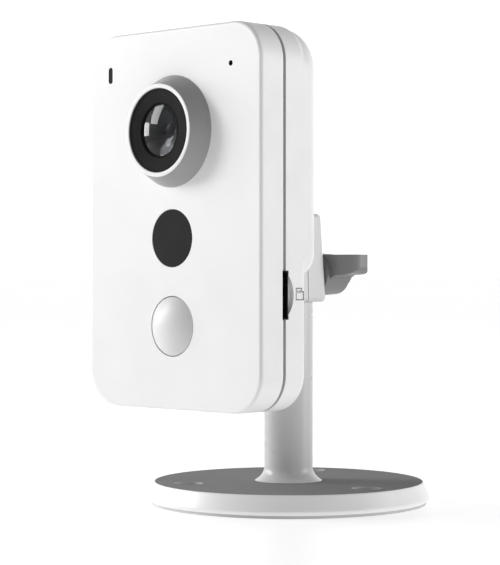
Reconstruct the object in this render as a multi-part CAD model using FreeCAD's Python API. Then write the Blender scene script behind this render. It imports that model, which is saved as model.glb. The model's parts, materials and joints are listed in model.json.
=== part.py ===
"""Cube security camera on a round table stand.

Millimetres, +Z up.  The origin is the centre of the base's underside and Z runs up the
column.  The camera looks along -Y, and +X is its left-hand side as it looks out.
"""
import FreeCAD, Part
import math
import os

V = FreeCAD.Vector
X_AXIS = V(1, 0, 0)
Y_AXIS = V(0, 1, 0)
Z_AXIS = V(0, 0, 1)

# ---- driving dimensions: camera body --------------------------------------------------
body_width = 65.0
body_bottom = 27.9
body_top = 127.8
body_corner = 10.0
wall = 2.0
face_y = -44.6                          # outer face of the front cover
cover_depth = 8.0                       # front face to the shadow gap
seam_gap = 1.0                          # width of the shadow gap round the case
shell_back_y = -27.3                    # back of the thin lower part of the case
bulge_back_y = -21.6                    # back of the thick upper part
bulge_bottom = 62.4
bulge_top = 127.4
bulge_corner = 11.2                     # upper corners of the thick part
bulge_low_corner = 6.2
bulge_edge = 5.6                        # soft rounding round the thick part's back
front_edge = 0.9                        # rounding of the front face's edge
back_edge = 2.5                         # rounding of the thin part's back edge
tongue = 1.0                            # thickness of the rear housing's locating tongue

# ---- driving dimensions: what shows on the front --------------------------------------
lens_z = 100.8
lens_ring_base = 14.7
lens_ring_rim = 12.1
lens_ring_bore = 10.95
lens_ring_depth = 5.3
lens_opening = 12.35                    # hole in the cover that the ring's spigot fills
ir_z = 72.8
ir_radius = 7.6
pir_z = 49.7
pir_radius = 7.7
pir_height = 2.5
window_flange = 1.0                     # how far a window's flange reaches past its hole
light_x, light_z = -24.1, 117.0
light_width, light_height = 1.6, 4.4
mic_x, mic_z = 21.7, 117.1
mic_hole = 0.7

# ---- driving dimensions: memory card slot on the side ---------------------------------
slot_y = (-36.85, -34.55)
slot_z = (51.8, 64.3)
scoop_radius = 7.25
scoop_reach = 1.85                      # how far the nail scoop reaches behind the slot
scoop_depth = 1.2

# ---- driving dimensions: stand --------------------------------------------------------
base_top = 6.0
base_top_radius = 37.4
base_wide_radius = 39.2
base_wide_z = 1.7
base_foot_radius = 38.5
pad_thickness = 0.8
plate_under = 4.2                       # underside of the disc's top plate
base_hole_circle = 57.5                 # pitch circle of the three wall screw holes
base_hole = 2.2
base_recess = 4.1
base_recess_floor = 3.8
base_boss = 5.7
column_radius = 6.75
column_top = 55.7
column_foot_radius = 9.3
column_foot_top = 10.2
spigot_radius = 4.6
spigot_top = 60.4
head_top = 80.2
ball_z = 72.6
ball_radius = 5.5
ball_clearance = 0.08
split = 0.15                            # half of the gap between the two head shells
neck_radius = 1.9
cup_thickness = 0.9
cup_angle = 33.0                        # half angle of the cup under the ball, degrees
clamp_z = 63.3                          # height of the clamp screw
clamp_screw_radius = 1.5
clamp_nut_flats = 5.5                   # across the flats of the clamp nut
clamp_nut_y = (-4.1, -1.7)
head_screw_z = 57.9                     # height of the screw into the column's spigot
clamp_seat_y = 8.5                      # spot face for the knob's washer
washer_thickness = 0.8
knob_back_y = 19.4
knob_front_radius = 6.2
knob_hub_radius = 5.65
wing_span = 13.4
wing_thickness = 5.2
stud_thread = 3.15                      # 1/4 inch camera thread, outside radius
stud_shoulder_y = (-15.6, -13.0)
lock_nut_y = (-20.8, -17.6)
lock_nut_radius = 8.0

# ---- driving dimensions: inside the camera --------------------------------------------
board = 1.2                             # circuit board thickness
front_board_y = -38.3                   # front of the sensor board
main_board_y = -29.4                    # front of the main board
io_board_y = -41.4                      # front of the connector board
case_posts = ((-26.6, 34.0), (26.6, 34.0), (-25.6, 108.0), (25.6, 108.0))
front_board_posts = ((-21.0, 86.0), (21.0, 86.0), (-21.0, 60.0), (13.0, 60.0))
main_board_posts = ((-24.0, 71.5), (24.0, 71.5), (-20.0, 120.0), (20.0, 120.0))
jack_x, jack_width = -14.6, 16.0
jack_z = (30.6, 43.6)
power_x, power_z = 15.0, 37.2
button_x, button_z = -16.5, 54.0
button_radius = 2.0
speaker_z = 54.5
speaker_radius = 8.6
barrel_radius = 6.0                     # M12 lens thread
glass_radius = 6.7                      # front lens
glass_rim_y = -48.7
glass_rise = 1.05                       # how far the front lens bulges past its rim
collar_radius = 7.05                    # wider front end of the lens barrel
collar_back_y = -45.4
barrel_back_y = -33.4
bezel_radii = (10.2, 9.4, 8.6, 7.9)     # steps of the black ring, from the front inwards
bezel_sink = 0.2                        # black ring's front, behind the white ring's
bezel_step = 0.15
bezel_bore = 7.15
bezel_back_y = -41.6
front_board_z = (44.6, 121.6)
main_board_z = (67.4, 123.4)
io_board_z = (31.0, 43.8)
insert_radius = 4.3                     # brass camera-thread insert
card_half = 5.65                        # half the width of the memory card's slot
filter_y = (-32.4, -31.3)
filter_travel = 6.2
power_bore = 3.15

fit = 0.05                              # clearance of pieces that locate in each other
half_width = body_width / 2
seam_y = face_y + cover_depth
inner_face_y = face_y + wall


# ---- shape helpers --------------------------------------------------------------------
def box(x_span, y_span, z_span):
    """A box between the given limits."""
    size = [high - low for low, high in (x_span, y_span, z_span)]
    return Part.makeBox(*size, V(x_span[0], y_span[0], z_span[0]))


def rod_y(radius, y_front, y_back, x, z):
    """A cylinder along Y."""
    return Part.makeCylinder(radius, y_back - y_front, V(x, y_front, z), Y_AXIS)


def rod_z(radius, z_low, z_high, x=0.0, y=0.0):
    """A cylinder along Z."""
    return Part.makeCylinder(radius, z_high - z_low, V(x, y, z_low), Z_AXIS)


def turned(profile, centre, axis, across):
    """Revolves a closed (radius, height) outline about an axis through centre."""
    points = [centre + across * radius + axis * height for radius, height in profile]
    face = Part.Face(Part.makePolygon(points + points[:1]))
    return face.revolve(centre, axis, 360)


def turned_y(profile, x, z):
    """Revolves a closed (radius, y) outline about a line along Y."""
    return turned(profile, V(x, 0, z), Y_AXIS, X_AXIS)


def turned_z(profile):
    """Revolves a closed (radius, z) outline about the column's axis."""
    return turned(profile, V(0, 0, 0), Z_AXIS, X_AXIS)


def fuse(shapes):
    """Joins shapes that overlap into one clean solid."""
    first, *rest = shapes
    return first.fuse(rest).removeSplitter() if rest else first


def parallel_edges(shape, direction):
    """The straight edges of a shape that run along a direction."""
    straight = [edge for edge in shape.Edges if edge.Curve.TypeId == "Part::GeomLine"]
    return [edge for edge in straight if abs(edge.Curve.Direction.dot(direction)) > 0.999]


def edges_at(shape, axis, level):
    """The edges of a shape that lie in one plane across an axis."""
    low = {"x": "XMin", "y": "YMin", "z": "ZMin"}[axis]
    high = {"x": "XMax", "y": "YMax", "z": "ZMax"}[axis]
    return [
        edge for edge in shape.Edges
        if abs(getattr(edge.BoundBox, low) - level) < 0.01
        and abs(getattr(edge.BoundBox, high) - level) < 0.01
    ]


def rounded_box(x_span, y_span, z_span, radius, direction):
    """A box with the edges along one direction rounded."""
    solid = box(x_span, y_span, z_span)
    return solid.makeFillet(radius, parallel_edges(solid, direction))


def case_slab(inset, y_front, y_back, bottom=body_bottom, top=body_top):
    """A slab with the case's outline, pulled in by inset on every side."""
    reach = half_width - inset
    z_span = (bottom + inset, top - inset)
    radius = body_corner - inset
    return rounded_box((-reach, reach), (y_front, y_back), z_span, radius, Y_AXIS)


def capsule_y(width, height, y_front, y_back, x, z):
    """An upright pill-shaped bar along Y."""
    radius = width / 2
    reach = height / 2 - radius
    middle = box((x - radius, x + radius), (y_front, y_back), (z - reach, z + reach))
    ends = [rod_y(radius, y_front, y_back, x, z + side * reach) for side in (-1, 1)]
    return fuse([middle] + ends)


def hexagon_y(across_flats, y_front, y_back, x, z):
    """A hexagonal prism along Y."""
    radius = across_flats / math.sqrt(3)
    corners = [math.radians(60 * k) for k in range(6)]
    points = [V(x + radius * math.cos(a), y_front, z + radius * math.sin(a)) for a in corners]
    return Part.Face(Part.makePolygon(points + points[:1])).extrude(V(0, y_back - y_front, 0))


def pan_screw_y(head, head_height, shank, y_seat, y_tip, x, z):
    """A screw along Y: the head is on the side of y_seat away from y_tip."""
    side = 1 if y_seat > y_tip else -1
    head_y = sorted((y_seat, y_seat + side * head_height))
    shank_y = sorted((y_tip, y_seat))
    top = rod_y(head, *head_y, x, z)
    rim = edges_at(top, "y", y_seat + side * head_height)
    top = top.makeFillet(head_height * 0.4, rim)
    screw = fuse([top, rod_y(shank, *shank_y, x, z)])
    for turn in (0, 90):
        slot = box((x - 0.62 * head, x + 0.62 * head), head_y, (z - 0.2, z + 0.2))
        slot.translate(V(0, side * head_height * 0.5, 0))
        slot.rotate(V(x, 0, z), Y_AXIS, turn)
        screw = screw.cut(slot)
    return screw


# ---- camera case ----------------------------------------------------------------------
def front_cover():
    """Dished front cover with its openings, screw bosses and board posts."""
    outer = case_slab(0, face_y, seam_y)
    outer = outer.makeFillet(front_edge, edges_at(outer, "y", face_y))
    hollow = case_slab(wall, inner_face_y, seam_y + 1)
    rebate = case_slab(tongue, seam_y - 2.0, seam_y + 1)
    shell = outer.cut([hollow, rebate])
    bosses = [rod_y(2.6, inner_face_y - 0.5, seam_y - 0.4, x, z) for x, z in case_posts]
    posts = [rod_y(2.0, inner_face_y - 0.5, front_board_y, x, z) for x, z in front_board_posts]
    shell = fuse([shell] + bosses + posts)
    shell = shell.common(case_slab(0, face_y, seam_y))
    holes = [rod_y(0.95, inner_face_y + 0.6, seam_y, x, z) for x, z in case_posts]
    holes += [rod_y(0.75, inner_face_y + 0.4, seam_y, x, z) for x, z in front_board_posts]
    holes += [
        rod_y(lens_opening, face_y - 1, seam_y, 0, lens_z),
        rod_y(ir_radius + fit, face_y - 1, seam_y, 0, ir_z),
        rod_y(ir_radius + window_flange + fit, face_y + 1.0, seam_y, 0, ir_z),
        rod_y(pir_radius + 0.3, face_y - 1, seam_y, 0, pir_z),
        rod_y(pir_radius + window_flange + 0.35, face_y + 1.0, seam_y, 0, pir_z),
        capsule_y(light_width, light_height, face_y - 1, seam_y, light_x, light_z),
        rod_y(mic_hole, face_y - 1, seam_y, mic_x, mic_z),
        box((half_width - 6, half_width + 1), slot_y, slot_z),
    ]
    locating = case_slab(tongue - fit, seam_y - 2.0, seam_y)
    locating = locating.cut(case_slab(2 * tongue + fit, seam_y - 3.0, seam_y + 1))
    return shell.cut(holes + [locating])


def thick_part(inset):
    """The thick upper part of the rear housing, soft all round its back."""
    reach = half_width - inset
    y_span = (seam_y + seam_gap + 2, bulge_back_y - inset)
    bulge = box((-reach, reach), y_span, (bulge_bottom + inset, bulge_top - inset))
    middle = (bulge_bottom + bulge_top) / 2
    upper = [edge for edge in parallel_edges(bulge, Y_AXIS) if edge.BoundBox.ZMin > middle]
    bulge = bulge.makeFillet(bulge_corner - inset, upper)
    low_edges = [
        edge for edge in parallel_edges(bulge, Y_AXIS)
        if edge.BoundBox.ZMax < bulge_bottom + inset + 0.01
    ]
    bulge = bulge.makeFillet(bulge_low_corner - inset, low_edges)
    return bulge.makeFillet(bulge_edge - inset, edges_at(bulge, "y", bulge_back_y - inset))


def rear_outline(inset):
    """The rear housing's outside, or its inside when inset by the wall."""
    low_back = shell_back_y - inset
    shell = case_slab(inset, seam_y + seam_gap, low_back)
    shell = shell.makeFillet(max(back_edge - inset, 0.4), edges_at(shell, "y", low_back))
    return shell.fuse(thick_part(inset))


def rear_housing():
    """Rear shell with its raised upper back, tongue, posts and port openings."""
    open_y = seam_y + seam_gap
    outer = rear_outline(0)
    ring = case_slab(tongue + fit, open_y - 2.0, open_y + 1)
    ring = ring.cut(case_slab(2 * tongue, open_y - 3.0, open_y + 2))
    mouth = case_slab(wall, open_y - 0.5, open_y + 1)
    shell = outer.cut([rear_outline(wall), mouth])
    posts = []
    for x, z in case_posts:
        back = bulge_back_y if z > bulge_bottom else shell_back_y
        posts.append(rod_y(2.8, open_y - 0.6, back - 0.3, x, z))
    posts += [rod_y(2.1, main_board_y + board, bulge_back_y - 1, x, z) for x, z in main_board_posts]
    posts.append(rod_y(6.2, main_board_y + board + 0.2, bulge_back_y - 1, 0, ball_z))
    posts = [post.common(case_slab(0.5, open_y - 3, bulge_back_y)) for post in posts]
    shell = fuse([shell, ring] + posts)
    holes = []
    for x, z in case_posts:
        back = bulge_back_y if z > bulge_bottom else shell_back_y
        holes.append(rod_y(1.15, open_y - 1, back, x, z))
        holes.append(rod_y(2.2, back - 3.0, back + 1, x, z))
    holes += [rod_y(0.75, main_board_y, bulge_back_y - 1.2, x, z) for x, z in main_board_posts]
    holes.append(rod_y(insert_radius, main_board_y, bulge_back_y + 1, 0, ball_z))
    jack_half = jack_width / 2 + 0.15
    jack_hole_z = (jack_z[0] - 0.15, jack_z[1] + 0.15)
    holes += [
        box((jack_x - jack_half, jack_x + jack_half), (open_y, shell_back_y + 1), jack_hole_z),
        rod_y(4.3, open_y, shell_back_y + 1, power_x, power_z),
        rod_y(button_radius + 0.15, open_y, shell_back_y + 1, button_x, button_z),
        box((half_width - 6, half_width + 1), slot_y, slot_z),
        scoop(),
    ]
    holes += speaker_holes()
    return shell.cut(holes)


def scoop():
    """Shallow round recess for a fingernail, just behind the card slot."""
    centre_y = slot_y[1] + scoop_reach - scoop_radius
    centre_z = sum(slot_z) / 2
    disc = Part.makeCylinder(
        scoop_radius, scoop_depth + 1, V(half_width - scoop_depth, centre_y, centre_z), X_AXIS)
    behind = box((half_width - 3, half_width + 2), (slot_y[1] - 1, slot_y[1] + 5), slot_z)
    return disc.common(behind)


def speaker_holes():
    """Small sound holes in rings behind the speaker."""
    holes = [rod_y(0.6, shell_back_y - 3, shell_back_y + 1, 0, speaker_z)]
    for radius, count in ((2.4, 6), (4.8, 12)):
        for k in range(count):
            angle = 2 * math.pi * k / count
            x = radius * math.cos(angle)
            z = speaker_z + radius * math.sin(angle)
            holes.append(rod_y(0.6, shell_back_y - 3, shell_back_y + 1, x, z))
    return holes


def case_screws():
    """Four screws that pull the rear housing onto the front cover."""
    screws = []
    for x, z in case_posts:
        back = bulge_back_y if z > bulge_bottom else shell_back_y
        screws.append(pan_screw_y(2.0, 1.5, 0.9, back - 3.0, inner_face_y + 1.2, x, z))
    return screws


# ---- windows, lens and what lies behind them ------------------------------------------
def lens_ring():
    """White conical ring round the lens."""
    front = face_y - lens_ring_depth
    ring = turned_y([
        (lens_ring_bore, front), (lens_ring_rim, front), (lens_ring_base, face_y),
        (lens_opening - fit, face_y), (lens_opening - fit, inner_face_y + 1.0),
        (lens_ring_bore, inner_face_y + 1.0),
    ], 0, lens_z)
    return ring.makeFillet(0.3, edges_at(ring, "y", front))


def lens_bezel():
    """Black stepped ring between the white ring and the lens."""
    front = face_y - lens_ring_depth + bezel_sink
    outer = lens_ring_bore - fit
    steps = [(outer, bezel_back_y), (outer, front)]
    level = front
    for radius in bezel_radii:
        steps += [(radius, level), (radius, level + bezel_step)]
        level += bezel_step
    steps += [(bezel_bore, level), (bezel_bore, bezel_back_y)]
    return turned_y(steps, 0, lens_z)


def lens_barrel():
    """Threaded lens barrel with a wider front collar."""
    return turned_y([
        (glass_radius + fit, glass_rim_y - 0.3), (collar_radius, glass_rim_y - 0.1),
        (collar_radius, collar_back_y), (barrel_radius, collar_back_y),
        (barrel_radius, barrel_back_y), (3.6, barrel_back_y), (3.6, -35.0), (5.0, -37.0),
        (5.0, glass_rim_y + 0.2), (glass_radius + fit, glass_rim_y + 0.2),
    ], 0, lens_z)


def domed_lens(radius, rim_y, height, thickness):
    """A lens that bulges towards -Y from its rim."""
    sphere_radius = (radius ** 2 + height ** 2) / (2 * height)
    centre = V(0, rim_y - height + sphere_radius, lens_z)
    ball = Part.makeSphere(sphere_radius, centre)
    blank = rod_y(radius, rim_y - height - 1, rim_y, 0, lens_z)
    return fuse([ball.common(blank), rod_y(radius, rim_y, rim_y + thickness, 0, lens_z)])


def lens_front_glass():
    """Domed front lens, which fills the collar."""
    return domed_lens(glass_radius, glass_rim_y, glass_rise, 0.2)


def lens_inner_glasses():
    """The smaller lenses inside the barrel."""
    return [
        domed_lens(4.9, -43.4, 0.8, 0.9),
        domed_lens(4.9, -40.6, 0.5, 1.0),
        domed_lens(4.9, -38.4, 0.9, 0.6),
    ]


def lens_holder():
    """Holder that the barrel screws into, with a chamber for the sliding filter."""
    foot_y = (-33.6, main_board_y)
    tube = rod_y(7.9, -41.5, foot_y[0] + 0.5, 0, lens_z)
    foot = rounded_box((-13.2, 13.2), foot_y, (lens_z - 7.5, lens_z + 7.5), 2.0, Y_AXIS)
    chamber = box((-11.6, 11.6), (-32.8, main_board_y), (lens_z - 4.8, lens_z + 4.8))
    bore = rod_y(barrel_radius + fit, -43, -33.3, 0, lens_z)
    light_path = rod_y(4.0, -34, -32, 0, lens_z)
    return fuse([tube, foot]).cut([chamber, bore, light_path])


def filter_carriage():
    """Sliding frame with two square windows."""
    frame = box((-filter_travel - 3.9, 3.9), filter_y, (lens_z - 4.2, lens_z + 4.2))
    windows = []
    for x in (-filter_travel, 0):
        windows.append(box((x - 2.6, x + 2.6), (-34, -30), (lens_z - 2.8, lens_z + 2.8)))
    return frame.cut(windows)


def filter_glasses():
    """The day filter and the clear night window, side by side in the carriage."""
    glasses = []
    for x in (-filter_travel, 0):
        glass_y = (filter_y[0] + 0.2, filter_y[1] - 0.3)
        glasses.append(box((x - 2.6, x + 2.6), glass_y, (lens_z - 2.8, lens_z + 2.8)))
    return glasses


def filter_coil():
    """Magnet coil that pushes the filter carriage across."""
    return rounded_box((-4.5, 4.5), (-34.0, main_board_y), (109.0, 113.5), 1.0, Y_AXIS)


def ir_window():
    """Flush dark disc with a flange behind the front wall."""
    disc = rod_y(ir_radius, face_y, face_y + 1.0, 0, ir_z)
    disc = disc.makeFillet(0.15, edges_at(disc, "y", face_y))
    flange = rod_y(ir_radius + window_flange, face_y + 1.0, inner_face_y - 0.1, 0, ir_z)
    return fuse([disc, flange])


def pir_dome():
    """Thin domed cover over the motion sensor."""
    rim_y = face_y + 0.1

    def cap(radius, height):
        sphere_radius = (radius ** 2 + height ** 2) / (2 * height)
        ball = Part.makeSphere(sphere_radius, V(0, rim_y - height + sphere_radius, pir_z))
        return ball.common(rod_y(radius, rim_y - height - 1, rim_y, 0, pir_z))

    skin = 0.8
    outside = [
        cap(pir_radius, pir_height),
        rod_y(pir_radius, rim_y, inner_face_y - 0.1, 0, pir_z),
        rod_y(pir_radius + window_flange, face_y + 1.0, inner_face_y - 0.1, 0, pir_z),
    ]
    inside = [
        cap(pir_radius - skin, pir_height - skin),
        rod_y(pir_radius - skin, rim_y - 0.01, inner_face_y, 0, pir_z),
    ]
    return fuse(outside).cut(fuse(inside))


def pir_sensor():
    """Metal-can motion sensor on the sensor board."""
    can = rod_y(4.1, front_board_y - 4.0, front_board_y, 0, pir_z)
    can = can.makeFillet(0.5, edges_at(can, "y", front_board_y - 4.0))
    rim = rod_y(4.55, front_board_y - 0.6, front_board_y, 0, pir_z)
    return fuse([can, rim])


def ir_leds():
    """Two infrared lamps behind the dark window."""
    lamps = []
    for x in (-3.4, 3.4):
        base = box((x - 1.75, x + 1.75), (front_board_y - 1.4, front_board_y), (ir_z - 1.75, ir_z + 1.75))
        dome = Part.makeSphere(1.4, V(x, front_board_y - 1.4, ir_z))
        lamps.append(fuse([base, dome]))
    return lamps


def light_sensor():
    """Small light sensor above the infrared lamps, behind the same window."""
    return box((-1.0, 1.0), (front_board_y - 0.8, front_board_y), (ir_z + 3.4, ir_z + 5.4))


def light_pipe():
    """Clear bar that brings the status light to the front."""
    gap = 0.05
    bar = capsule_y(light_width - gap, light_height - gap, face_y + 0.15, inner_face_y,
                    light_x, light_z)
    flange = capsule_y(2.6, 5.8, inner_face_y, -39.3, light_x, light_z)
    return fuse([bar, flange])


def status_led():
    """Light-emitting chip behind the light pipe."""
    return box((light_x - 0.8, light_x + 0.8), (-39.2, front_board_y), (light_z - 0.5, light_z + 0.5))


def microphone():
    """Round microphone capsule."""
    return rod_y(2.0, -41.6, front_board_y, mic_x, mic_z)


def mic_boot():
    """Rubber sleeve that seals the microphone to its hole."""
    sleeve = rod_y(2.6, inner_face_y, front_board_y - 0.3, mic_x, mic_z)
    return sleeve.cut([
        rod_y(2.0, -41.6, front_board_y, mic_x, mic_z),
        rod_y(mic_hole, inner_face_y - 1, -41, mic_x, mic_z),
    ])


# ---- circuit boards and electronics ---------------------------------------------------
def front_board():
    """Sensor board behind the front cover, with a hole for the lens holder."""
    panel = rounded_box(
        (-27.6, 27.6), (front_board_y, front_board_y + board), front_board_z, 3.0, Y_AXIS)
    notches = [rod_y(3.2, -40, -36, x, z) for x, z in case_posts]
    notches += [rod_y(0.95, -40, -36, x, z) for x, z in front_board_posts]
    notches.append(rod_y(9.0, -40, -36, 0, lens_z))
    return panel.cut(notches)


def main_board():
    """Main board behind the lens, in the thick upper part."""
    panel = rounded_box(
        (-28.6, 28.6), (main_board_y, main_board_y + board), main_board_z, 4.5, Y_AXIS)
    notches = [rod_y(3.1, -31, -27, x, z) for x, z in case_posts]
    notches += [rod_y(0.95, -31, -27, x, z) for x, z in main_board_posts]
    return panel.cut(notches)


def io_board():
    """Connector board low in the case."""
    panel = box((-26.5, 26.5), (io_board_y, io_board_y + board), io_board_z)
    notches = [rod_y(3.2, -43, -39, x, z) for x, z in case_posts]
    return panel.cut(notches)


def board_screws():
    """Small screws that hold the two larger boards."""
    screws = []
    for x, z in front_board_posts:
        screws.append(pan_screw_y(1.8, 1.0, 0.7, front_board_y + board, -41.8, x, z))
    for x, z in main_board_posts:
        screws.append(pan_screw_y(1.8, 1.0, 0.7, main_board_y, -24.6, x, z))
    return screws


def board_chips():
    """Processor, memory and power parts on the back of the main board."""
    back = main_board_y + board
    chips = [
        box((-6.5, 6.5), (back, back + 1.2), (90.0, 103.0)),
        box((-18.0, -9.5), (back, back + 1.2), (92.0, 104.0)),
        box((10.0, 18.0), (back, back + 1.2), (94.0, 100.0)),
    ]
    for k in range(4):
        low = 76.0 + 3.0 * k
        chips.append(box((-20.0, -17.6), (back, back + 0.8), (low, low + 1.6)))
    return chips


def thermal_pad():
    """Soft pad between the processor and the heat spreader."""
    back = main_board_y + board + 1.2
    return box((-6.0, 6.0), (back, back + 0.6), (90.5, 102.5))


def heat_sink():
    """Aluminium heat spreader with shallow ribs."""
    front = main_board_y + board + 1.8
    plate = rounded_box((-22.0, 22.0), (front, front + 1.0), (84.0, 115.0), 1.5, Y_AXIS)
    ribs = []
    for k in range(7):
        middle = -18.0 + 6.0 * k
        ribs.append(box((middle - 0.6, middle + 0.6), (front + 0.8, -24.5), (86.0, 113.0)))
    return fuse([plate] + ribs)


def image_sensor():
    """Image sensor on the front of the main board."""
    return box((-4.2, 4.2), (main_board_y - 0.9, main_board_y), (lens_z - 4.2, lens_z + 4.2))


def board_connector():
    """Stacked connector between the sensor board and the main board."""
    return box((-24.0, -12.0), (front_board_y + board, main_board_y), (76.0, 80.0))


def link_header():
    """Short header that joins the connector board to the sensor board."""
    return box((5.4, 12.4), (io_board_y + board, front_board_y), (42.0, 46.2))


def wifi_antenna():
    """Thin antenna strip on stand-offs under the case's top wall."""
    return box((-20.0, 4.0), (-34.0, -30.2), (124.9, 125.7))


def card_socket():
    """Memory card socket with a black shroud that lines the slot."""
    middle_z = sum(slot_z) / 2
    shroud_x = (29.7, half_width - 0.2)
    shroud_y = (slot_y[0] + fit, slot_y[1] - fit)
    shroud_z = (slot_z[0] + fit, slot_z[1] - fit)
    body = box((16.4, 30.2), (front_board_y + board, -35.1), (middle_z - 7.1, middle_z + 7.1))
    card = box((16.9, half_width), (-36.5, -35.6), (middle_z - card_half, middle_z + card_half))
    rim = 0.35
    mouth_y = (shroud_y[0] + rim, shroud_y[1] - rim)
    mouth_z = (shroud_z[0] + rim, shroud_z[1] - rim)
    mouth = box((30.8, half_width), mouth_y, mouth_z)
    return fuse([body, box(shroud_x, shroud_y, shroud_z)]).cut([card, mouth])


def ethernet_jack():
    """Network socket for an eight-way plug."""
    half = jack_width / 2
    back = shell_back_y - 0.1
    body = box((jack_x - half, jack_x + half), (io_board_y + board, back), jack_z)
    depth_y = (back - 11.4, back + 1)
    cavity = box((jack_x - 5.95, jack_x + 5.95), depth_y, (33.6, 40.6))
    latch_wide = box((jack_x - 3.1, jack_x + 3.1), depth_y, (40.5, 41.9))
    latch_narrow = box((jack_x - 1.6, jack_x + 1.6), depth_y, (41.8, 42.8))
    return body.cut([cavity, latch_wide, latch_narrow])


def ethernet_contacts():
    """Eight spring contacts on the socket's lower wall."""
    contacts = []
    for k in range(8):
        x = jack_x + (k - 3.5) * 1.02
        contacts.append(box((x - 0.2, x + 0.2), (-37.5, -30.5), (33.6, 34.1)))
    return contacts


def power_jack():
    """Round power socket."""
    body_back = shell_back_y - wall
    body = box((power_x - 4.5, power_x + 4.5), (io_board_y + board, body_back),
               (power_z - 4.5, power_z + 4.5))
    neck = rod_y(4.15, body_back - 1, shell_back_y - 0.1, power_x, power_z)
    return fuse([body, neck]).cut(rod_y(power_bore, -38.6, shell_back_y + 1, power_x, power_z))


def power_pin():
    """Centre pin of the power socket."""
    pin = rod_y(1.0, -38.6, -28.6, power_x, power_z)
    return pin.makeFillet(0.4, edges_at(pin, "y", -28.6))


def reset_button():
    """Reset button: a domed cap on a stem, held in by a flange."""
    front = shell_back_y - wall
    cap = rod_y(button_radius, front - 0.5, shell_back_y + 0.4, button_x, button_z)
    cap = cap.makeFillet(0.35, edges_at(cap, "y", shell_back_y + 0.4))
    flange = rod_y(3.0, front - 1.0, front - 0.05, button_x, button_z)
    stem = rod_y(1.2, -34.55, front - 0.5, button_x, button_z)
    return fuse([cap, flange, stem])


def reset_switch():
    """Switch under the reset button's stem."""
    back = front_board_y + board
    middle = 2.2
    return box((button_x - middle, button_x + middle), (back, back + 2.1),
               (button_z - middle, button_z + middle))


def speaker():
    """Small round loudspeaker with its magnet."""
    front = shell_back_y - wall - 0.6
    frame = rod_y(speaker_radius, front - 1.8, front, 0, speaker_z)
    magnet = rod_y(5.0, front - 4.0, front - 1.7, 0, speaker_z)
    dish = Part.makeCone(4.0, 7.4, 1.0, V(0, front - 1.0, speaker_z), Y_AXIS)
    return fuse([frame, magnet]).cut(dish)


def speaker_gasket():
    """Foam ring between the speaker and the rear wall."""
    back = shell_back_y - wall
    ring = rod_y(speaker_radius, back - 0.6, back, 0, speaker_z)
    return ring.cut(rod_y(7.5, back - 2, back + 1, 0, speaker_z))


def threaded_insert():
    """Brass camera-thread insert moulded into the back."""
    sleeve = rod_y(insert_radius, main_board_y + board + 0.3, bulge_back_y - 0.05, 0, ball_z)
    return sleeve.cut(rod_y(stud_thread + fit, -30, -20, 0, ball_z))


# ---- stand ----------------------------------------------------------------------------
def base_hole_places():
    """Centres of the three wall screw holes."""
    radius = base_hole_circle / 2
    angles = [math.radians(angle) for angle in (0, 120, 240)]
    return [(radius * math.cos(a), radius * math.sin(a)) for a in angles]


def base_disc():
    """Round base with a sloping rim, hollow underneath."""
    disc = turned_z([
        (0, pad_thickness), (base_foot_radius, pad_thickness), (base_wide_radius, base_wide_z),
        (base_top_radius, base_top), (0, base_top),
    ])
    disc = disc.makeFillet(0.5, edges_at(disc, "z", base_wide_z))
    disc = disc.makeFillet(0.35, edges_at(disc, "z", base_top))
    disc = disc.cut(rod_z(36.2, 0, plate_under))
    bosses = [rod_z(base_boss, pad_thickness, plate_under + 0.5, x, y) for x, y in base_hole_places()]
    centre = rod_z(8.6, 3.2, plate_under + 0.5)
    disc = fuse([disc, centre] + bosses)
    holes = [rod_z(5.0 + fit, 0, base_top + 1)]
    for x, y in base_hole_places():
        holes.append(rod_z(base_hole, 0, base_top + 1, x, y))
        holes.append(rod_z(base_recess, base_recess_floor, base_top + 1, x, y))
    return disc.cut(holes)


def base_weight():
    """Steel plate that fills the hollow of the base."""
    plate = rod_z(36.0, 1.0, plate_under - 0.05)
    holes = [rod_z(9.2, 0, 6)]
    holes += [rod_z(base_boss + 0.3, 0, 6, x, y) for x, y in base_hole_places()]
    return plate.cut(holes)


def base_pad():
    """Rubber sheet under the base."""
    sheet = rod_z(base_foot_radius - 0.3, 0, pad_thickness)
    return sheet.cut([rod_z(2.6, -1, 2, x, y) for x, y in base_hole_places()])


def column():
    """Round column with a flared foot and a spigot at each end."""
    foot_arc = Part.Arc(
        V(column_foot_radius, 0, base_top),
        V(column_radius + 0.75, 0, base_top + 1.25),
        V(column_radius, 0, column_foot_top)).toShape()
    above = [(column_radius, column_top), (spigot_radius, column_top),
             (spigot_radius, spigot_top), (0, spigot_top)]
    below = [(0, 3.5), (5.0, 3.5), (5.0, base_top), (column_foot_radius, base_top)]
    upper = Part.makePolygon([V(r, 0, z) for r, z in [(column_radius, column_foot_top)] + above])
    lower = Part.makePolygon([V(r, 0, z) for r, z in [above[-1]] + below])
    outline = Part.Wire(lower.Edges + [foot_arc] + upper.Edges)
    solid = Part.Face(outline).revolve(V(0, 0, 0), Z_AXIS, 360)
    return solid.cut([
        rod_z(1.9, 3, 20),
        rod_y(1.05, -5, 2.5, 0, head_screw_z),
    ])


def column_screw():
    """Screw that holds the column down from under the base."""
    head = rod_z(4.0, 0.95, 2.4)
    head = head.makeFillet(0.4, edges_at(head, "z", 0.95))
    return fuse([head, rod_z(1.85, 2.4, 18)])


def column_washer():
    """Wide washer under the column's screw."""
    return rod_z(8.0, 2.4, 3.2).cut(rod_z(2.1, 2, 4))


def rounded_outline(half_x, y_front, y_back, radius, z):
    """A rounded rectangle as a flat wire at one height."""
    flat = box((-half_x, half_x), (y_front, y_back), (z, z + 1))
    flat = flat.makeFillet(radius, parallel_edges(flat, Z_AXIS))
    bottom = [face for face in flat.Faces if face.BoundBox.ZMax < z + 0.01]
    return bottom[0].OuterWire


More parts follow.
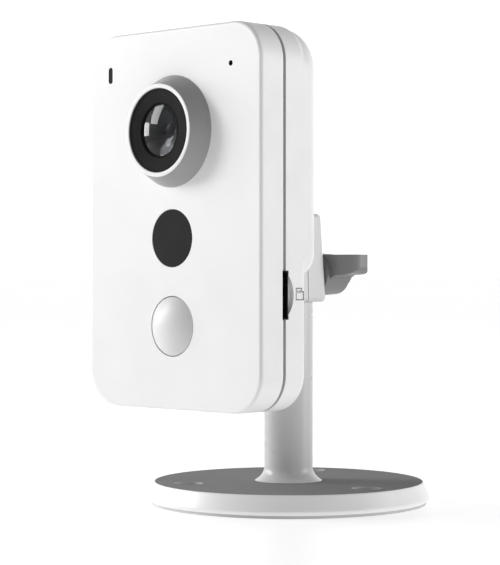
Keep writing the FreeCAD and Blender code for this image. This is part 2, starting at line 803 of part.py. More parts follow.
def head_block():
    """The head's outside: a tapered rounded block with a softened top."""
    low = rounded_outline(7.6, -9.0, 9.2, 3.8, column_top)
    high = rounded_outline(7.0, -7.6, 7.8, 3.8, head_top)
    block = Part.makeLoft([low, high], True, True)
    block = block.makeFillet(1.4, edges_at(block, "z", head_top))
    return block.makeFillet(1.1, edges_at(block, "z", column_top))


def ball_cap_region(radius, angle):
    """The part of a ball below a cone that points straight down from its centre."""
    centre = V(0, 0, ball_z)
    reach = radius + 2
    cone = Part.makeCone(0, reach * math.tan(math.radians(angle)), reach, centre, V(0, 0, -1))
    return Part.makeSphere(radius, centre).common(cone)


def head_cavities():
    """Ball seat, cup pocket, spigot pocket, screw hole and front mouth of the head."""
    seat = ball_radius + ball_clearance
    return [
        Part.makeSphere(seat, V(0, 0, ball_z)),
        ball_cap_region(seat + cup_thickness + 0.08, cup_angle + 2),
        rod_z(spigot_radius + fit, column_top - 1, spigot_top + 0.2),
        rod_y(clamp_screw_radius + 0.1, -12, 12, 0, clamp_z),
        Part.makeCone(6.3, 4.75, 1.4, V(0, -4.3, ball_z), Y_AXIS),
        box((-10, 10), (-12, -4.2), (65.2, head_top + 1)),
    ]


def head_socket():
    """Front half of the head, fixed to the column."""
    front = head_block().common(box((-12, 12), (-12, -split), (50, 90)))
    return front.cut(head_cavities() + [
        hexagon_y(clamp_nut_flats + 2 * fit, -12, clamp_nut_y[1], 0, clamp_z),
        rod_y(1.2, -12, 0, 0, head_screw_z),
        rod_y(1.8, -12, -7.2, 0, head_screw_z),
    ])


def head_clamp():
    """Rear half of the head, which the knob pulls onto the ball."""
    back = head_block().common(box((-12, 12), (split, 12), (50, 90)))
    return back.cut(head_cavities() + [
        rod_y(7.0, clamp_seat_y, 14, 0, clamp_z),
    ])


def head_screw():
    """Screw that fixes the head's front half to the column's spigot."""
    return pan_screw_y(1.7, 1.2, 1.0, -7.2, 2.0, 0, head_screw_z)


def clamp_nut():
    """Hexagonal nut caught in the front half of the head."""
    nut = hexagon_y(clamp_nut_flats, *clamp_nut_y, 0, clamp_z)
    return nut.cut(rod_y(clamp_screw_radius + fit, -10, 0, 0, clamp_z))


def clamp_screw():
    """Screw moulded into the knob."""
    shank = rod_y(clamp_screw_radius, clamp_nut_y[0] - 0.5, 13.0, 0, clamp_z)
    return fuse([shank, hexagon_y(clamp_nut_flats, 12.9, 15.8, 0, clamp_z)])


def knob_washer():
    """Washer between the knob and the head."""
    ring = rod_y(5.0, clamp_seat_y, clamp_seat_y + washer_thickness, 0, clamp_z)
    return ring.cut(rod_y(clamp_screw_radius + 0.1, 0, 20, 0, clamp_z))


def wing():
    """One wing: flush with the hub's top, swept round at its tip."""
    top = knob_hub_radius - 0.1
    tip_low = top - wing_thickness
    outline = [
        V(0, 0, top), V(wing_span, 0, top), V(wing_span, 0, tip_low + 1.7),
        V(wing_span - 0.4, 0, tip_low + 0.7), V(wing_span - 1.3, 0, tip_low),
        V(wing_span - 2.6, 0, tip_low - 0.4), V(7.6, 0, tip_low - 0.6), V(6.4, 0, tip_low - 1.2),
        V(5.3, 0, -2.4), V(0, 0, -2.4),
    ]
    blade = Part.Face(Part.makePolygon(outline + outline[:1])).extrude(V(0, 8.6, 0))
    blade.translate(V(0, knob_back_y - 8.6, clamp_z))
    uprights = [
        edge for edge in parallel_edges(blade, Z_AXIS) if edge.BoundBox.XMin > wing_span - 0.01
    ]
    front = [edge for edge in uprights if edge.BoundBox.YMax < knob_back_y - 1]
    blade = blade.makeFillet(5.2, front)
    back = [
        edge for edge in parallel_edges(blade, Z_AXIS)
        if edge.BoundBox.XMin > wing_span - 0.01 and edge.BoundBox.YMin > knob_back_y - 0.01
    ]
    return blade.makeFillet(2.0, back)


def wing_knob():
    """Winged clamp knob: a tapered hub with two offset wings."""
    front = clamp_seat_y + washer_thickness
    length = knob_back_y - front
    hub = Part.makeCone(knob_front_radius, knob_hub_radius, length, V(0, front, clamp_z), Y_AXIS)
    right = wing()
    left = right.copy()
    left.rotate(V(0, 0, clamp_z), Y_AXIS, 180)
    knob = fuse([hub, right, left])
    return knob.cut(clamp_screw())


def ball_cup():
    """Thin cup that carries the ball from below."""
    seat = ball_radius + ball_clearance
    return ball_cap_region(seat + cup_thickness, cup_angle).cut(
        Part.makeSphere(seat, V(0, 0, ball_z)))


def ball_stud():
    """Ball, neck, shoulder and camera thread in one turned piece."""
    ball = Part.makeSphere(ball_radius, V(0, 0, ball_z))
    neck = rod_y(neck_radius, stud_shoulder_y[1] - 0.5, -4.5, 0, ball_z)
    shoulder = hexagon_y(7.6, *stud_shoulder_y, 0, ball_z)
    thread = rod_y(stud_thread, main_board_y + board + 0.6, stud_shoulder_y[0] + 0.5, 0, ball_z)
    return fuse([ball, neck, shoulder, thread])


def lock_nut():
    """Grooved ring nut that locks the camera on the stud."""
    nut = rod_y(lock_nut_radius, *lock_nut_y, 0, ball_z)
    nut = nut.makeFillet(0.5, [edge for edge in nut.Edges if edge.Curve.TypeId == "Part::GeomCircle"])
    grooves = []
    for k in range(16):
        angle = 2 * math.pi * k / 16
        x = (lock_nut_radius + 0.35) * math.cos(angle)
        z = ball_z + (lock_nut_radius + 0.35) * math.sin(angle)
        grooves.append(rod_y(0.8, lock_nut_y[0] - 1, lock_nut_y[1] + 1, x, z))
    return nut.cut(grooves + [rod_y(stud_thread + fit, -30, -10, 0, ball_z)])


def stud_washer():
    """Rubber washer between the lock nut and the camera's back."""
    ring = rod_y(7.4, bulge_back_y + 0.02, lock_nut_y[0], 0, ball_z)
    return ring.cut(rod_y(stud_thread + 0.1, -30, -10, 0, ball_z))


PIECES = {
    "front_cover": front_cover,
    "rear_housing": rear_housing,
    "case_screws": case_screws,
    "lens_ring": lens_ring,
    "lens_bezel": lens_bezel,
    "lens_barrel": lens_barrel,
    "lens_front_glass": lens_front_glass,
    "lens_inner_glasses": lens_inner_glasses,
    "lens_holder": lens_holder,
    "filter_carriage": filter_carriage,
    "filter_glasses": filter_glasses,
    "filter_coil": filter_coil,
    "image_sensor": image_sensor,
    "ir_window": ir_window,
    "ir_leds": ir_leds,
    "light_sensor": light_sensor,
    "pir_dome": pir_dome,
    "pir_sensor": pir_sensor,
    "light_pipe": light_pipe,
    "status_led": status_led,
    "microphone": microphone,
    "mic_boot": mic_boot,
    "front_board": front_board,
    "main_board": main_board,
    "io_board": io_board,
    "board_screws": board_screws,
    "board_chips": board_chips,
    "thermal_pad": thermal_pad,
    "heat_sink": heat_sink,
    "board_connector": board_connector,
    "link_header": link_header,
    "wifi_antenna": wifi_antenna,
    "card_socket": card_socket,
    "ethernet_jack": ethernet_jack,
    "ethernet_contacts": ethernet_contacts,
    "power_jack": power_jack,
    "power_pin": power_pin,
    "reset_button": reset_button,
    "reset_switch": reset_switch,
    "speaker": speaker,
    "speaker_gasket": speaker_gasket,
    "threaded_insert": threaded_insert,
    "base_disc": base_disc,
    "base_weight": base_weight,
    "base_pad": base_pad,
    "column": column,
    "column_screw": column_screw,
    "column_washer": column_washer,
    "head_socket": head_socket,
    "head_clamp": head_clamp,
    "head_screw": head_screw,
    "clamp_nut": clamp_nut,
    "clamp_screw": clamp_screw,
    "knob_washer": knob_washer,
    "wing_knob": wing_knob,
    "ball_cup": ball_cup,
    "ball_stud": ball_stud,
    "lock_nut": lock_nut,
    "stud_washer": stud_washer,
}


def solids_of(made):
    """The separate solids of a piece, whether it is one shape or a list of them."""
    shapes = made if isinstance(made, list) else [made]
    return [solid for shape in shapes for solid in shape.Solids]


os.makedirs("parts", exist_ok=True)
for name, make in PIECES.items():
    solids = solids_of(make())
    assert solids and all(solid.isValid() and solid.isClosed() for solid in solids), name
    shape = solids[0] if len(solids) == 1 else Part.makeCompound(solids)
    shape.exportStep(f"parts/{name}.step")
    volume = sum(solid.Volume for solid in solids)
    print(f"{name}: {len(solids)} solid(s), {volume:.1f} mm3")
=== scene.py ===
"""Looks of the cube security camera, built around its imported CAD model.  Metres, +Z up."""
import json
import math

import bmesh
import bpy
from mathutils import Matrix, Vector


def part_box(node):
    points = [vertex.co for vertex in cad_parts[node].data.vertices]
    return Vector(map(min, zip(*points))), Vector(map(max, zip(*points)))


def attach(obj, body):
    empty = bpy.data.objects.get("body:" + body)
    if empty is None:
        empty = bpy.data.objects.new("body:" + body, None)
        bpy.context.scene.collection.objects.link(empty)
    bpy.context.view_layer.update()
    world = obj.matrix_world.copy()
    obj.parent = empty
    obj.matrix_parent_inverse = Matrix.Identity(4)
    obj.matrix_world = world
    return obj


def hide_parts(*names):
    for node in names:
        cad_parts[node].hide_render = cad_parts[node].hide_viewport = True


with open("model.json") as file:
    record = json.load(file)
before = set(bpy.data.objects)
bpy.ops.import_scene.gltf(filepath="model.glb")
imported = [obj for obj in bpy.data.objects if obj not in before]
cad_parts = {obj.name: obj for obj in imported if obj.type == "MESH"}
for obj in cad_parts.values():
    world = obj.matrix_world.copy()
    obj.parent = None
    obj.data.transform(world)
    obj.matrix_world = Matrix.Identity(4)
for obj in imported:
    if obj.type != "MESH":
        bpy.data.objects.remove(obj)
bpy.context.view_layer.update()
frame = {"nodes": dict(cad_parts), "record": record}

nodes = frame["nodes"]
MM = 0.001
CRISP = math.radians(28)  # edges sharper than this aren't smoothed

# Places on the CAD, in metres.
BASE_TOP_RADIUS = 37.4 * MM
RECESS_DEPTH = 2.3 * MM
SEAM_GAP = 1.0 * MM
MIC_X, MIC_Z, MIC_RADIUS = 21.7 * MM, 117.1 * MM, 0.75 * MM
LIGHT_X, LIGHT_Z, LIGHT_WIDE, LIGHT_TALL = -24.1 * MM, 117.0 * MM, 1.7 * MM, 4.5 * MM

# Heights of the turned pieces' axes, in millimetres.
LENS_Z = 100.8
BALL_Z = 72.6
AXIS = 0.001  # a radius small enough to close a turned outline

# The backdrop: (direction component, light level).
BACKDROP_TOWARD = (-0.70, 0.714, 0.0)
BACKDROP_STOPS = ((-1.0, 0.27), (-0.2, 0.30), (0.35, 1.0))
HEIGHT_STOPS = ((0.3, 1.0), (0.7, 0.3))
BACKDROP_LEVEL = 1.3

# Soft lights: azimuth and elevation in degrees, size in metres, power in watts.
LIGHT_AIM = (0, -0.02, 0.07)
LIGHT_DISTANCE = 1.2
SOFT_LIGHTS = (
    ("key_low", -71, 7, (0.28, 0.20), 2.6),
    ("key_high", -54, 21, (0.32, 0.42), 6.9),
    ("fill", 128, 8, (0.6, 0.5), 4.25),
)


# ---- material helpers -----------------------------------------------------------------
def new_material(name):
    """A material with an empty node tree, its shader and its object coordinates."""
    material = bpy.data.materials.new(name)
    material.use_nodes = True
    tree = material.node_tree
    tree.nodes.clear()
    output = tree.nodes.new("ShaderNodeOutputMaterial")
    shader = tree.nodes.new("ShaderNodeBsdfPrincipled")
    place = tree.nodes.new("ShaderNodeTexCoord")
    tree.links.new(shader.outputs["BSDF"], output.inputs["Surface"])
    return material, tree, shader, place


def noise(tree, place, scale, detail=2.0, stretch=None):
    """Noise in object space; stretch lengthens its grain along an axis."""
    texture = tree.nodes.new("ShaderNodeTexNoise")
    texture.inputs["Scale"].default_value = scale
    texture.inputs["Detail"].default_value = detail
    source = place.outputs["Object"]
    if stretch:
        mapping = tree.nodes.new("ShaderNodeMapping")
        mapping.inputs["Scale"].default_value = stretch
        tree.links.new(source, mapping.inputs["Vector"])
        source = mapping.outputs["Vector"]
    tree.links.new(source, texture.inputs["Vector"])
    return texture.outputs["Fac"]


def spread(tree, value, low, high):
    """Maps a noise value to a range."""
    node = tree.nodes.new("ShaderNodeMapRange")
    node.inputs["From Min"].default_value = 0.3
    node.inputs["From Max"].default_value = 0.7
    node.inputs["To Min"].default_value = low
    node.inputs["To Max"].default_value = high
    tree.links.new(value, node.inputs["Value"])
    return node.outputs["Result"]


def tint(tree, value, dark, light):
    """Blends two colours by a value."""
    ramp = tree.nodes.new("ShaderNodeValToRGB")
    ramp.color_ramp.elements[0].position = 0.35
    ramp.color_ramp.elements[0].color = (*dark, 1)
    ramp.color_ramp.elements[1].position = 0.65
    ramp.color_ramp.elements[1].color = (*light, 1)
    tree.links.new(value, ramp.inputs["Fac"])
    return ramp.outputs["Color"]


def bump(tree, shader, height, strength, distance):
    """Adds a bump to a shader."""
    node = tree.nodes.new("ShaderNodeBump")
    node.inputs["Strength"].default_value = strength
    node.inputs["Distance"].default_value = distance
    tree.links.new(height, node.inputs["Height"])
    tree.links.new(node.outputs["Normal"], shader.inputs["Normal"])


def plastic(name, colour, roughness, grain=2600.0, depth=0.00002, shade=0.03, specular=0.5):
    """Moulded plastic: fine grain, faint mottling and uneven gloss."""
    material, tree, shader, place = new_material(name)
    mottle = noise(tree, place, scale=55.0, detail=3.0)
    darker = [channel * (1 - shade) for channel in colour]
    tree.links.new(tint(tree, mottle, darker, colour), shader.inputs["Base Color"])
    gloss = noise(tree, place, scale=180.0)
    low, high = roughness
    tree.links.new(spread(tree, gloss, low, high), shader.inputs["Roughness"])
    texture = noise(tree, place, scale=grain, detail=1.0)
    bump(tree, shader, texture, strength=0.35, distance=depth)
    shader.inputs["IOR"].default_value = 1.47
    shader.inputs["Specular IOR Level"].default_value = specular
    return material


def metal(name, colour, roughness, stretch=(1, 1, 1), grain=900.0):
    """Metal with a fine grain, which stretch can lengthen."""
    material, tree, shader, place = new_material(name)
    brushed = noise(tree, place, scale=grain, detail=3.0, stretch=stretch)
    darker = [channel * 0.86 for channel in colour]
    tree.links.new(tint(tree, brushed, darker, colour), shader.inputs["Base Color"])
    low, high = roughness
    tree.links.new(spread(tree, brushed, low, high), shader.inputs["Roughness"])
    bump(tree, shader, brushed, strength=0.25, distance=0.00002)
    shader.inputs["Metallic"].default_value = 1.0
    return material


def glass(name, colour, ior):
    """Clear optical glass that lets the lamps reach what is behind it."""
    material, tree, shader, place = new_material(name)
    cloud = noise(tree, place, scale=300.0)
    darker = [channel * 0.96 for channel in colour]
    tree.links.new(tint(tree, cloud, darker, colour), shader.inputs["Base Color"])
    tree.links.new(spread(tree, cloud, 0.0, 0.02), shader.inputs["Roughness"])
    shader.inputs["Transmission Weight"].default_value = 1.0
    shader.inputs["IOR"].default_value = ior
    output = tree.nodes["Material Output"]
    path = tree.nodes.new("ShaderNodeLightPath")
    clear = tree.nodes.new("ShaderNodeBsdfTransparent")
    mix = tree.nodes.new("ShaderNodeMixShader")
    tree.links.new(path.outputs["Is Shadow Ray"], mix.inputs["Fac"])
    tree.links.new(shader.outputs["BSDF"], mix.inputs[1])
    tree.links.new(clear.outputs["BSDF"], mix.inputs[2])
    tree.links.new(mix.outputs["Shader"], output.inputs["Surface"])
    return material


CASE = plastic("case_white", (0.905, 0.905, 0.905), (0.34, 0.44), specular=0.4)
RING = plastic("ring_white", (0.88, 0.88, 0.88), (0.32, 0.42))
# Column: white plastic darkened to grey as painted shade for the shadow the camera body casts on
# it.
COLUMN_PAINTED_SHADE = plastic("column_painted_shade", (0.63, 0.63, 0.63), (0.26, 0.34), grain=1200.0, depth=0.00001)
# Base top: the base's white plastic coloured dark grey as painted shade for the dim light that
# reaches it from overhead.
BASE_TOP_PAINTED_SHADE = plastic("base_top_painted_shade", (0.27, 0.27, 0.27), (0.40, 0.48), grain=1200.0, depth=0.00001,
                specular=0.0)
# Recess walls: painted shade that is lighter than the base top's, standing in as a painted
# highlight for their lit far walls.
RECESS_PAINTED_LIGHT = plastic("recess_painted_light", (0.55, 0.55, 0.55), (0.30, 0.38), grain=1200.0, depth=0.00001)
CONE = plastic("cone_grey", (0.36, 0.36, 0.36), (0.34, 0.42))
STAND = plastic("stand_gloss", (0.95, 0.95, 0.95), (0.28, 0.36), grain=1200.0, depth=0.00001)
# Head: white plastic darkened as painted shade for its place in the camera body's shade.
HEAD_PAINTED_SHADE = plastic("head_white", (0.70, 0.70, 0.70), (0.34, 0.44))
DOME = plastic("dome_milky", (0.73, 0.73, 0.73), (0.40, 0.48), shade=0.02)
# Matt black for the lens parts and ports; also painted shade on the white walls of the front holes.
BLACK_AND_HOLE_SHADE = plastic("black_matt_and_hole_shade", (0.010, 0.010, 0.010), (0.5, 0.62), shade=0.2, specular=0.1)
BEZEL = plastic("bezel_black", (0.016, 0.016, 0.016), (0.55, 0.65), shade=0.2, specular=0.06)
WINDOW = plastic("window_black", (0.012, 0.012, 0.012), (0.12, 0.16), shade=0.1, specular=0.3)
KNOB = plastic("knob_grey", (0.22, 0.22, 0.225), (0.34, 0.44), shade=0.08)
GREY = plastic("mid_grey", (0.42, 0.42, 0.43), (0.45, 0.55))
RUBBER = plastic("rubber_dark", (0.035, 0.035, 0.035), (0.65, 0.8), shade=0.2)
PAD = plastic("rubber_grey", (0.60, 0.60, 0.60), (0.6, 0.75), shade=0.1)
BOARD = plastic("board_green", (0.02, 0.12, 0.05), (0.3, 0.45), shade=0.3)
NYLON = plastic("nylon", (0.78, 0.78, 0.75), (0.35, 0.45))
STEEL = metal("zinc_steel", (0.62, 0.62, 0.63), (0.25, 0.4))
ALUMINIUM = metal("aluminium", (0.78, 0.78, 0.79), (0.3, 0.45), stretch=(1, 1, 12))
BRASS = metal("brass", (0.80, 0.62, 0.32), (0.22, 0.35))
GLASS = glass("lens_glass", (0.50, 0.51, 0.53), ior=1.22)
DISH = plastic("dish_black", (0.004, 0.004, 0.005), (0.09, 0.12), shade=0.1, specular=0.6)
PUPIL = plastic("pupil_coating", (0.016, 0.015, 0.019), (0.10, 0.16), shade=0.1, specular=0.25)
SEAM = plastic("seam_shade", (0.60, 0.60, 0.60), (0.55, 0.65))
MARK = plastic("mark_grey", (0.22, 0.22, 0.22), (0.5, 0.6), shade=0.1)
LAMP_GREEN = plastic("lamp_green", (0.03, 0.20, 0.05), (0.15, 0.25), shade=0.2)
LAMP_AMBER = plastic("lamp_amber", (0.45, 0.20, 0.02), (0.15, 0.25), shade=0.2)
RESIN = glass("clear_resin", (0.95, 0.95, 0.9), ior=1.5)

SLOT_MATERIAL = {
    "case_white": CASE, "ring_white": RING, "stand_white": STAND, "head_white": HEAD_PAINTED_SHADE,
    "nut_white": NYLON, "dome_white": DOME, "lens_black": BLACK_AND_HOLE_SHADE, "inner_black": BLACK_AND_HOLE_SHADE,
    "port_black": BLACK_AND_HOLE_SHADE, "window_black": WINDOW, "pipe_dark": BLACK_AND_HOLE_SHADE, "lens_glass": GLASS,
    "lamp_clear": RESIN, "knob_grey": KNOB, "button_grey": GREY, "cup_nylon": NYLON,
    "rubber_dark": RUBBER, "pad_grey": PAD, "board_green": BOARD, "sensor_silver": STEEL,
    "screw_steel": STEEL, "weight_steel": STEEL, "sink_aluminium": ALUMINIUM,
    "contact_brass": BRASS,
}


def dress_cad_nodes():
    """Gives every CAD node its slot's material and smooth shading with crisp edges."""
    slots = {part["node"]: part["material_slot"] for part in frame["record"]["subparts"]}
    for name, node in nodes.items():
        node.data.materials.clear()
        node.data.materials.append(SLOT_MATERIAL[slots[name]])
        node.data.shade_smooth()
        node.data.set_sharp_from_angle(angle=CRISP)


def second_material(name, material, chosen):
    """Gives the faces of a CAD node that chosen accepts a second material."""
    mesh = nodes[name].data
    mesh.materials.append(material)
    for face in mesh.polygons:
        if chosen(face):
            face.material_index = len(mesh.materials) - 1


def from_axis(face):
    """How far a face of the base is from its axis."""
    return math.hypot(face.center.x, face.center.y)


def on_base_top(face):
    """The base's top inside its rim, with the screw recesses, which is coloured grey as painted
    shade.
    """
    return (face.normal.z > -0.5 and face.center.z > base_top_z - RECESS_DEPTH
            and from_axis(face) < BASE_TOP_RADIUS - 0.4 * MM)


def in_base_recess(face):
    """The walls of the screw recesses, below the level top, which get a painted light level."""
    return (-0.5 < face.normal.z < 0.999
            and base_top_z - RECESS_DEPTH < face.center.z < base_top_z - 0.15 * MM
            and from_axis(face) < BASE_TOP_RADIUS - 3.0 * MM)


def on_ring_cone(face):
    """The lens ring without its flat front."""
    return face.normal.y > -0.85 and face.center.y > ring_front_y + 0.1 * MM


def in_seam(face):
    """The rear housing's faces in the gap behind the cover."""
    return seam_y - 1.1 * MM < face.center.y < seam_y + SEAM_GAP + 0.01 * MM


def on_cover_rear(face):
    """The cover's rear edge, which faces the gap."""
    return face.center.y > seam_y - 0.05 * MM


def front_hole_walls_shaded(face):
    """The walls of the microphone hole and of the status light's slot, painted black as painted
    shade.
    """
    from_mic = abs(face.center.x - MIC_X), abs(face.center.z - MIC_Z)
    from_light = abs(face.center.x - LIGHT_X), abs(face.center.z - LIGHT_Z)
    in_mic = max(from_mic) < MIC_RADIUS
    in_light = from_light[0] < LIGHT_WIDE / 2 and from_light[1] < LIGHT_TALL / 2
    return abs(face.normal.y) < 0.5 and (in_mic or in_light)


dress_cad_nodes()
base_top_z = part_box("base_disc")[1][2]
ring_front_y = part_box("lens_ring")[0][1]
seam_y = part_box("front_cover")[1][1]
# Painted shade: the base's top inside the rim is coloured dark grey.
second_material("base_disc", BASE_TOP_PAINTED_SHADE, on_base_top)
# Painted light: the recess walls get a grey between the painted-shade top and the base's white.
second_material("base_disc", RECESS_PAINTED_LIGHT, in_base_recess)
second_material("lens_ring", CONE, on_ring_cone)
second_material("rear_housing", SEAM, in_seam)
second_material("front_cover", SEAM, on_cover_rear)
# Painted shade: the walls of the microphone hole and the light slot are coloured black.
second_material("front_cover", BLACK_AND_HOLE_SHADE, front_hole_walls_shaded)


# ---- pieces built round the CAD ---------------------------------------------------------
def piece(name, mesh_data, material, body):
    """An object from a bmesh, smooth with crisp edges, that rides on a body."""
    mesh = bpy.data.meshes.new(name)
    bmesh.ops.recalc_face_normals(mesh_data, faces=mesh_data.faces)
    mesh_data.to_mesh(mesh)
    mesh_data.free()
    mesh.materials.append(material)
    mesh.shade_smooth()
    mesh.set_sharp_from_angle(angle=CRISP)
    made = bpy.data.objects.new(name, mesh)
    bpy.context.scene.collection.objects.link(made)
    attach(made, body)
    return made


def lathe(profile, centre_z=None, steps=96):
    """Turns a closed outline of (radius, along), in millimetres.

    The axis runs along Y at the height centre_z, or is Z when there is none.
    """
    turned = bmesh.new()
    rings = []
    for radius, along in profile:
        ring = []
        for k in range(steps):
            angle = 2 * math.pi * k / steps
            side, other = radius * math.cos(angle), radius * math.sin(angle)
            if centre_z is None:
                place = (side, other, along)
            else:
                place = (side, along, centre_z + other)
            ring.append(turned.verts.new([value * MM for value in place]))
        rings.append(ring)
    for ring, following in zip(rings, rings[1:] + rings[:1]):
        for k in range(steps):
            after = (k + 1) % steps
            turned.faces.new((ring[k], ring[after], following[after], following[k]))
    return turned


def box_mesh(target, x_span, y_span, z_span):
    """Adds a box, in millimetres, with slightly eased edges."""
    size = [(high - low) * MM for low, high in (x_span, y_span, z_span)]
    middle = [(high + low) / 2 * MM for low, high in (x_span, y_span, z_span)]
    place = Matrix.Translation(middle) @ Matrix.Diagonal((*size, 1.0))
    made = bmesh.ops.create_cube(target, size=1.0, matrix=place)
    edges = list({edge for vert in made["verts"] for edge in vert.link_edges})
    ease = min(size) * 0.15
    bmesh.ops.bevel(target, geom=edges, offset=ease, segments=2, affect="EDGES", profile=0.5)


def bezel_rings():
    """Black ring round the lens with fine concentric grooves."""
    outer, inner = 10.9, 7.15
    back, front = -41.6, -49.6
    lip, lip_width = 0.1, 0.35
    pitch, groove, fall = 0.46, 0.06, 0.14  # fall is how far it sinks per millimetre inwards
    profile = [(outer, back), (outer, front - lip), (outer - lip_width, front - lip)]
    radius = outer - lip_width - lip
    while radius > inner + pitch:
        slope = fall * (outer - radius)
        profile += [
            (radius, front + slope), (radius - pitch * 0.55, front + slope),
            (radius - pitch * 0.65, front + slope + groove),
            (radius - pitch * 0.9, front + slope + groove),
        ]
        radius -= pitch
    profile += [(inner, front + fall * (outer - inner)), (inner, back)]
    made = piece("bezel_rings", lathe(profile, LENS_Z), BEZEL, "camera")
    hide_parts("lens_bezel")


def lens_barrel():
    """Lens barrel with its collar and its thread."""
    collar, collar_back = 7.05, -45.4
    root, crest, pitch = 5.7, 6.0, 0.5
    thread_front, thread_back = -45.0, -34.2
    back, back_hole, bore = -33.4, 3.6, 5.0
    profile = [(6.76, -48.95), (6.85, -49.0), (7.02, -48.85), (collar, -48.75),
               (collar, collar_back)]
    y = thread_front
    while y < thread_back:
        profile += [(root, y), (crest, y + 0.17), (crest, y + 0.25), (root, y + 0.42)]
        y += pitch
    profile += [(5.8, back), (back_hole, back), (back_hole, -35.0), (bore, -37.0), (bore, -46.4),
                (6.2, -46.9), (6.76, -47.8)]
    made = piece("barrel_threaded", lathe(profile, LENS_Z), BLACK_AND_HOLE_SHADE, "camera")
    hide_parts("lens_barrel")


def lens_dish():
    """Dark concave ring inside the lens, with the aperture at its centre."""
    curve, rim, hole = 10.0, 6.6, 1.9
    rim_y, thickness = -48.4, 0.5
    depth = curve - math.sqrt(curve ** 2 - rim ** 2)
    steps = 14
    profile = []
    for k in range(steps + 1):
        radius = rim + (hole - rim) * k / steps
        sag = curve - math.sqrt(curve ** 2 - radius ** 2)
        profile.append((radius, rim_y + depth - sag))
    floor_y = profile[-1][1]
    profile += [(hole, floor_y + thickness), (4.4, floor_y + thickness),
                (rim, rim_y + thickness / 2)]
    dish = piece("lens_dish", lathe(profile, LENS_Z), DISH, "camera")
    eye_radius, eye_back = hole - 0.04, floor_y + 0.45
    eye = [(AXIS, floor_y + 0.02), (0.9, floor_y + 0.06), (1.5, floor_y + 0.16),
           (eye_radius, floor_y + 0.3), (eye_radius, eye_back), (AXIS, eye_back)]
    pupil = piece("lens_pupil", lathe(eye, LENS_Z, 48), PUPIL, "camera")


def column_turned():
    """Column with its flared foot and the spigots at its ends."""
    radius, foot_radius, foot_low, foot_high = 6.75, 9.3, 6.0, 10.2
    low_spigot, high_spigot = 5.0, 4.6
    bottom, shoulder, top = 3.5, 55.7, 60.4
    ease, flare_power, steps = 0.1, 2.6, 12
    profile = [(AXIS, bottom), (low_spigot, bottom), (low_spigot, foot_low),
               (foot_radius - 0.12, foot_low), (foot_radius, foot_low + ease)]
    for k in range(1, steps + 1):
        share = k / steps
        flare = (foot_radius - radius) * (1 - share) ** flare_power
        height = foot_low + ease + (foot_high - foot_low - ease) * share
        profile.append((radius + flare, height))
    profile += [(radius, 25.0), (radius, 40.0), (radius, shoulder - 0.2),
                (radius - 0.15, shoulder), (high_spigot, shoulder), (high_spigot, top), (AXIS, top)]
    # Its grey is painted shade for the camera body's shadow.
    made = piece("column_turned", lathe(profile), COLUMN_PAINTED_SHADE, "stand")
    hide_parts("column")


def card_mark():
    """Plain raised outline of a memory card beside its slot."""
    outline = bmesh.new()
    skin = (32.47, 32.53)
    front, back, low, high = -31.9, -28.9, 56.7, 59.9
    line, bar, notch = 0.28, 0.25, 0.95  # widths of the line and contacts, and the cut corner
    box_mesh(outline, skin, (front, back - 0.8), (high - line, high))
    box_mesh(outline, skin, (front, back), (low, low + line))
    box_mesh(outline, skin, (front, front + line), (low, high))
    box_mesh(outline, skin, (back - line, back), (low, high - 0.9))
    box_mesh(outline, skin, (back - notch, back - notch + line), (high - 1.15, high))
    box_mesh(outline, skin, (back - notch, back), (high - 1.15, high - 1.15 + line))
    for k in range(3):
        left = front + 0.6 + 0.5 * k
        box_mesh(outline, skin, (left, left + bar), (high - 1.4, high - 0.6))
    made = piece("card_mark", outline, MARK, "camera")


def stud_thread():
    """Camera thread on the stud: a ridge that winds round it."""
    core, crest, pitch = 3.0, 3.18, 1.27
    core_half, crest_half = 0.45, 0.08
    start, end = -27.4, -15.8
    per_turn = 36
    count = int((end - start) / pitch * per_turn)
    ridge = bmesh.new()
    rows = []
    for k in range(count + 1):
        angle = 2 * math.pi * k / per_turn
        y = start + pitch * k / per_turn
        row = []
        for radius, offset in ((core, -core_half), (crest, -crest_half), (crest, crest_half),
                               (core, core_half)):
            x, z = radius * math.cos(angle), BALL_Z + radius * math.sin(angle)
            row.append(ridge.verts.new((x * MM, (y + offset) * MM, z * MM)))
        rows.append(row)
    for row, following in zip(rows, rows[1:]):
        for k in range(4):
            after = (k + 1) % 4
            ridge.faces.new((row[k], row[after], following[after], following[k]))
    ridge.faces.new(rows[0])
    ridge.faces.new(rows[-1][::-1])
    made = piece("stud_thread", ridge, STEEL, "ball")


def jack_lamps():
    """Two small link lamps in the network socket's face."""
    half_width, y_span, z_span = 0.9, (-28.2, -27.34), (41.6, 42.9)
    lamps = (("jack_lamp_left", -21.0, LAMP_GREEN), ("jack_lamp_right", -8.2, LAMP_AMBER))
    for name, x, material in lamps:
        lamp = bmesh.new()
        box_mesh(lamp, (x - half_width, x + half_width), y_span, z_span)
        piece(name, lamp, material, "camera")


column_turned()
bezel_rings()
lens_barrel()
lens_dish()
card_mark()
stud_thread()
jack_lamps()


# ---- floor, light and camera ----------------------------------------------------------
def floor():
    """A plain pale floor."""
    mesh = bpy.data.meshes.new("floor")
    half = 25.0
    corners = [(-half, -half, 0), (half, -half, 0), (half, half, 0), (-half, half, 0)]
    mesh.from_pydata(corners, [], [(0, 1, 2, 3)])
    plane = bpy.data.objects.new("floor", mesh)
    bpy.context.scene.collection.objects.link(plane)
    material = plastic("floor_pale", (0.60, 0.60, 0.60), (0.40, 0.46), grain=60.0, shade=0.004)
    glow = material.node_tree.nodes["Principled BSDF"]
    glow.inputs["Emission Color"].default_value = (1, 1, 1, 1)
    glow.inputs["Emission Strength"].default_value = 0.53
    mesh.materials.append(material)


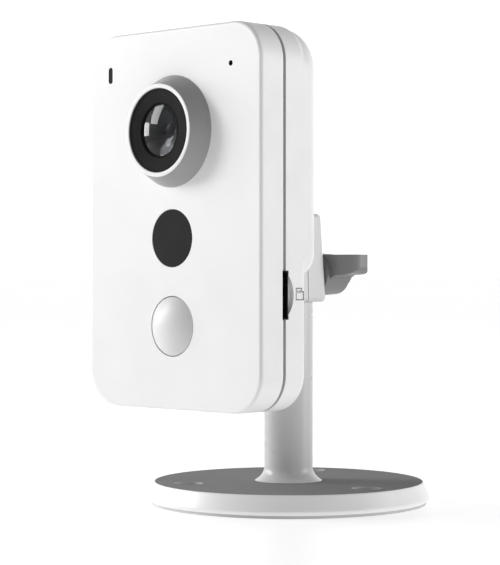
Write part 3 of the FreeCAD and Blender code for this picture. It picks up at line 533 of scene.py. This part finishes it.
def studio_sky():
    """A white backdrop behind the object; the room in front and overhead is dim."""
    world = bpy.data.worlds.new("studio")
    bpy.context.scene.world = world
    world.use_nodes = True
    tree = world.node_tree
    tree.nodes.clear()
    output = tree.nodes.new("ShaderNodeOutputWorld")
    background = tree.nodes.new("ShaderNodeBackground")
    place = tree.nodes.new("ShaderNodeTexCoord")
    split = tree.nodes.new("ShaderNodeSeparateXYZ")
    tree.links.new(place.outputs["Generated"], split.inputs["Vector"])
    toward = tree.nodes.new("ShaderNodeVectorMath")
    toward.operation = "DOT_PRODUCT"
    toward.inputs[1].default_value = BACKDROP_TOWARD
    tree.links.new(place.outputs["Generated"], toward.inputs[0])
    sideways = level_ramp(tree, toward.outputs["Value"], BACKDROP_STOPS)
    up = level_ramp(tree, split.outputs["Z"], HEIGHT_STOPS)
    product = tree.nodes.new("ShaderNodeMath")
    product.operation = "MULTIPLY"
    tree.links.new(sideways, product.inputs[0])
    tree.links.new(up, product.inputs[1])
    level = tree.nodes.new("ShaderNodeMath")
    level.operation = "MULTIPLY"
    level.inputs[1].default_value = BACKDROP_LEVEL
    tree.links.new(product.outputs["Value"], level.inputs[0])
    background.inputs["Color"].default_value = (1, 1, 1, 1)
    tree.links.new(level.outputs["Value"], background.inputs["Strength"])
    tree.links.new(background.outputs["Background"], output.inputs["Surface"])


def level_ramp(tree, value, stops):
    """Maps a direction component from -1..1 to a light level through stops."""
    scale = tree.nodes.new("ShaderNodeMapRange")
    scale.inputs["From Min"].default_value = -1.0
    scale.inputs["From Max"].default_value = 1.0
    tree.links.new(value, scale.inputs["Value"])
    ramp = tree.nodes.new("ShaderNodeValToRGB")
    elements = ramp.color_ramp.elements
    while len(elements) < len(stops):
        elements.new(0.5)
    for element, (component, level) in zip(elements, stops):
        element.position = (component + 1) / 2
        element.color = (level, level, level, 1)
    tree.links.new(scale.outputs["Result"], ramp.inputs["Fac"])
    return ramp.outputs["Color"]


def soft_box(name, place, target, size, power):
    """A rectangular soft light that faces a point."""
    light = bpy.data.lights.new(name, "AREA")
    light.shape = "RECTANGLE"
    light.size, light.size_y = size
    light.energy = power
    lamp = bpy.data.objects.new(name, light)
    bpy.context.scene.collection.objects.link(lamp)
    lamp.location = place
    facing = Vector(target) - Vector(place)
    lamp.rotation_euler = facing.to_track_quat("-Z", "Y").to_euler()


def photo_camera():
    """Camera at the viewing angle: level, from the front right."""
    data = bpy.data.cameras.new("view")
    data.lens = 124.54
    data.shift_y = -0.01742
    data.clip_start = 0.01
    data.clip_end = 50
    camera = bpy.data.objects.new("view", data)
    bpy.context.scene.collection.objects.link(camera)
    camera.location = (0.37224, -0.39681, 0.06377)
    camera.rotation_euler = (math.radians(90), 0, math.radians(44.298))
    bpy.context.scene.camera = camera


def around(azimuth, elevation, distance):
    """A place seen from the object: azimuth from -Y towards +X, and elevation, in degrees."""
    turn, lift = math.radians(azimuth), math.radians(elevation)
    flat, rise = distance * math.cos(lift), distance * math.sin(lift)
    return (flat * math.sin(turn), -flat * math.cos(turn), LIGHT_AIM[2] + rise)


floor()
studio_sky()
for name, azimuth, elevation, size, power in SOFT_LIGHTS:
    soft_box(name, around(azimuth, elevation, LIGHT_DISTANCE), LIGHT_AIM, size, power)
photo_camera()
bpy.context.scene.view_settings.view_transform = "Standard"
